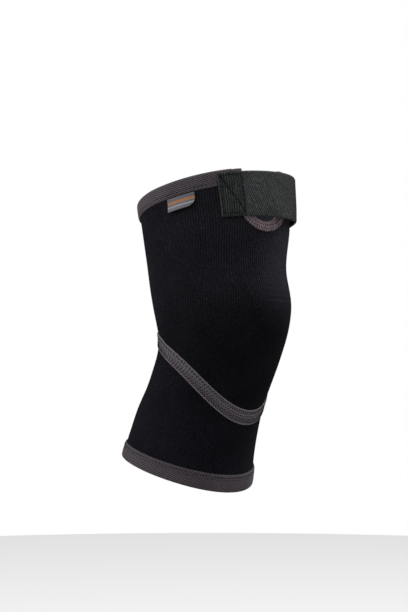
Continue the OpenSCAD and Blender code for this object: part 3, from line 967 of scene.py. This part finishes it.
def loop_patch():
    """Napped landing patch sewn to the sleeve under the strap's end."""
    t, w = shares(121, 101)
    turn = LOOP_START + LOOP_SPAN * t
    height = STRAP_H - 2 * LOOP_INSET
    s = STRAP_LOW + LOOP_INSET + height * w - hem_drop(turn)
    rng = np.random.default_rng(7)
    nap = rng.uniform(-1, 1, s.shape) * NAP
    edge = ease(np.minimum(np.minimum(w, 1 - w) / 0.05, np.minimum(t, 1 - t) / 0.04))
    off = layer_height(turn, s) + SEWN_GAP + LOOP_T + nap * edge - 0.35 * (1 - edge)
    piece = grid("loop_landing", skin(turn, s, off), LOOP_PILE, 60 * t, height * w)
    thicken(piece, LOOP_T - 0.05)
    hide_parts("strap_loop_patch")
    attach(piece, "thigh")


def loop_stitches():
    """Rectangle of stitches that holds the loop patch."""
    turns = (LOOP_START + 1.2, LOOP_START + LOOP_SPAN - 1.2)
    ends = stitch_box(turns, (STRAP_LOW + 3, STRAP_HIGH - 3), 24, 14, SEWN_GAP + LOOP_T - 0.1)
    piece = threads("loop_landing_stitches", ends, 0.2, BLACK_THREAD, 0.12)
    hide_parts("loop_patch_stitches")
    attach(piece, "thigh")


# ---- label ----

LABEL_SIDE = np.linspace(-1, 1, 41)[:, None]
LABEL_TURNS = LABEL_TURN + LABEL_SIDE * math.degrees(math.asin(LABEL_W / 2 / NOTCH_GIRTH))
LABEL_TOP = top_line(LABEL_TURNS) - TOP_HEM_H - 0.6  # level of its sewn edge
LABEL_HINGE = float(top_line(LABEL_TURN)) - TOP_HEM_H - 2  # level of the line where it bends up
LABEL_CORNER = 7.5        # radius of its rounded corner


def label_foot():
    """Level of the label's lower edge, which follows the hem and rounds off at its front corner."""
    u = np.maximum(np.abs(LABEL_SIDE) * LABEL_W / 2 - (LABEL_W / 2 - LABEL_CORNER), 0)
    rise = LABEL_CORNER - np.sqrt(np.maximum(LABEL_CORNER**2 - np.minimum(u, LABEL_CORNER) ** 2, 0))
    return LABEL_TOP - LABEL_H + rise * (LABEL_SIDE > 0)


def label_piece(name, low, high, rows):
    """Part of the label between two edges; the further it hangs from the hem the more it stands off."""
    s = low + (high - low) * np.linspace(0, 1, rows)[None, :]
    hang = (LABEL_TOP - s) / LABEL_H
    off = 1.35 + 2.4 * hang**2 + 0.5 * np.sin(2.6 * LABEL_SIDE + 0.6) * hang
    u = LABEL_W * (LABEL_SIDE + 1) / 2
    return thicken(grid(name, skin(LABEL_TURNS, s, off), LABEL_CLOTH, u, LABEL_H * (1 - hang)), 0.7)


def label():
    """Folded cloth label: its root is sewn under the hem, and its leaf hangs from the root."""
    root = label_piece("label_root", LABEL_HINGE, np.maximum(LABEL_TOP, LABEL_HINGE + 0.2), 4)
    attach(root, "thigh")
    leaf = label_piece("label_leaf", label_foot(), LABEL_HINGE, 25)
    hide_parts("label")
    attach(leaf, "label")


# ---- hem stitches and back seams ----

def hem_stitches():
    """Dark needle marks along the groove of each hem."""
    turns = np.arange(HEM_START + 2, HEM_STOP - 2, 2.6)
    ends = row_of(turns, top_line, TOP_GROOVE - TOP_HEM_H, HEM_PROUD + 0.05, 0.5)
    piece = threads("top_hem_stitch_row", ends, 0.42, DARK_THREAD)
    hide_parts("top_hem_stitches")
    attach(piece, "thigh")
    turns = np.arange(-180, 180, 2.8)
    ends = row_of(turns, bottom_line, BOTTOM_HEM_H - BOTTOM_GROOVE, HEM_PROUD + 0.05, 0.5)
    ends += row_of(turns + 1.2, bottom_line, BOTTOM_HEM_H - BOTTOM_GROOVE - 2.2, HEM_PROUD + 0.02, 0.4)
    piece = threads("bottom_hem_stitch_row", ends, 0.42, DARK_THREAD)
    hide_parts("bottom_hem_stitches")
    bends(piece)


BACK_SEAM_W = 8.0
ZIGZAG_REACH, ZIGZAG_STEP = 3.2, 1.5  # half width of the seam's zigzag, and its rise, mm
TAPE_CLEARANCE = 8        # distance of the back seams from the middle of the knee's tape


def back_seam(name, nodes, low, high, material):
    """Flat overlocked seam: a low ridge with threads zigzagging over it."""
    columns, rows = 13, int((high - low) / 0.8)
    s = np.linspace(low, high, rows)
    side = np.linspace(-1, 1, columns)[:, None]
    turn = 180 - np.degrees(np.arcsin(BACK_SEAM_W / 2 * side / at_level(HALF_WIDTHS, s)))[::-1]
    lump = 0.05 * np.cos(np.arange(rows) * math.pi / 2)
    off = 0.25 + (0.95 + lump) * (1 - np.abs(side) ** 4)
    piece = grid(name, skin(turn, s, off), material, BACK_SEAM_W * (side + 1) / 2, s - low)
    thicken(piece, 0.5)
    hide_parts(*nodes)
    bends(piece)
    ends = []
    reach = math.degrees(math.asin(ZIGZAG_REACH / 65))
    for k, level in enumerate(np.arange(low + 1, high - ZIGZAG_STEP, ZIGZAG_STEP)):
        swing = reach if k % 2 else -reach
        ends.append(((180 - swing, level, 0.95), (180 + swing, level + ZIGZAG_STEP, 0.95)))
    zigzag = threads(name + "_zigzag", ends, 0.2, BLACK_THREAD, 0.35)
    bends(zigzag)


upper_fabric()
lower_fabric()
knee_tape()
knee_tape_stitches()
top_hem()
bottom_hem()
notch_binding()
notch_stitches()
strap()
strap_tab()
tab_stitches()
hook_patch()
loop_patch()
loop_stitches()
label()
hem_stitches()
back_seam("upper_seam", ["thigh_back_seam", "knee_back_seam"], float(seam_line(180)) + TAPE_CLEARANCE,
          float(top_line(180)) - TOP_HEM_H - 0.6, UPPER_KNIT)
back_seam("lower_seam", ["calf_back_seam"], float(bottom_line(180)) + BOTTOM_HEM_H + 0.8,
          float(seam_line(180)) - TAPE_CLEARANCE, LOWER_KNIT)


# ---- stage ----

FLOOR_LEVEL = -0.46       # the floor lies this far below the knee, as under a standing leg
FLOOR_RADIUS = 2.0
FLOOR_SHADE = 0.36
AMBIENT_LOW, AMBIENT_HIGH = 0.12, 2.3  # strength of the light from the horizon and from above


def direction(azimuth, elevation):
    """Direction from the knee; azimuth 0 is in front and 90 on the outer side."""
    a, e = math.radians(azimuth), math.radians(elevation)
    return np.array([math.sin(a) * math.cos(e), -math.cos(a) * math.cos(e), math.sin(e)])


def area_light(name, azimuth, elevation, distance, size, power):
    """Soft light aimed at the knee."""
    place = direction(azimuth, elevation) * distance
    data = bpy.data.lights.new(name, "AREA")
    data.shape = "DISK"
    data.size = size
    data.energy = power
    light = add_object(name, data)
    light.location = place
    light.rotation_euler = Vector(-place).to_track_quat("-Z", "Y").to_euler()


def camera(azimuth, elevation, distance, view_height, aim):
    """Camera that looks past the knee by aim, to the right and up; view_height is what it takes in there."""
    back = direction(azimuth, elevation)
    right = direction(azimuth + 90, 0)
    up = np.cross(back, right)
    target = aim[0] * right + aim[1] * up
    data = bpy.data.cameras.new("camera")
    data.sensor_width = 36
    data.lens = data.sensor_width * distance / view_height
    data.clip_end = 50
    obj = add_object("camera", data)
    obj.location = (target + back * distance) * MM
    obj.rotation_euler = Vector(back).to_track_quat("Z", "Y").to_euler()
    bpy.context.scene.camera = obj


def floor():
    """Round pale floor, which ends below the object in a level view."""
    turns = np.radians(np.arange(0, 360, 3))
    rim = [(FLOOR_RADIUS * math.cos(a), FLOOR_RADIUS * math.sin(a), FLOOR_LEVEL) for a in turns]
    mesh = bpy.data.meshes.new("floor")
    mesh.from_pydata(rim, [], [range(len(rim))])
    n = Nodes("floor_paint")
    n.colour((FLOOR_SHADE, FLOOR_SHADE, FLOOR_SHADE, 1))
    n.surface(0.9, 0.0)
    mesh.materials.append(n.material)
    add_object("floor", mesh)


def world():
    """White surroundings, which light the object mostly from above like a large softbox."""
    surroundings = bpy.data.worlds.new("studio")
    surroundings.use_nodes = True
    n = Tree(surroundings.node_tree)
    seen = n.tree.nodes["Background"]
    n.feed(seen.inputs["Color"], (1, 1, 1, 1))
    place = n.add("ShaderNodeTexCoord")
    parts = n.add("ShaderNodeSeparateXYZ", inputs={0: place.outputs["Generated"]})
    strength = n.add("ShaderNodeMapRange", {"interpolation_type": "SMOOTHSTEP"},
                     {"Value": parts.outputs["Z"], "From Min": -0.1, "From Max": 0.9,
                      "To Min": AMBIENT_LOW, "To Max": AMBIENT_HIGH})
    soft = n.add("ShaderNodeBackground", inputs={"Color": (1, 1, 1, 1), "Strength": strength.outputs[0]})
    path = n.add("ShaderNodeLightPath")
    mix = n.add("ShaderNodeMixShader",
                inputs={0: path.outputs["Is Camera Ray"], 1: soft.outputs[0], 2: seen.outputs[0]})
    n.feed(n.tree.nodes["World Output"].inputs["Surface"], mix.outputs[0])
    bpy.context.scene.world = surroundings


camera(-44, -1, 1500, 586.3, (-11.5, 11.0))
floor()
world()
area_light("key", 60, 56, 1.6, 1.0, 29)
area_light("fill", -128, 18, 1.8, 1.2, 25)
bpy.context.scene.view_settings.view_transform = "Standard"
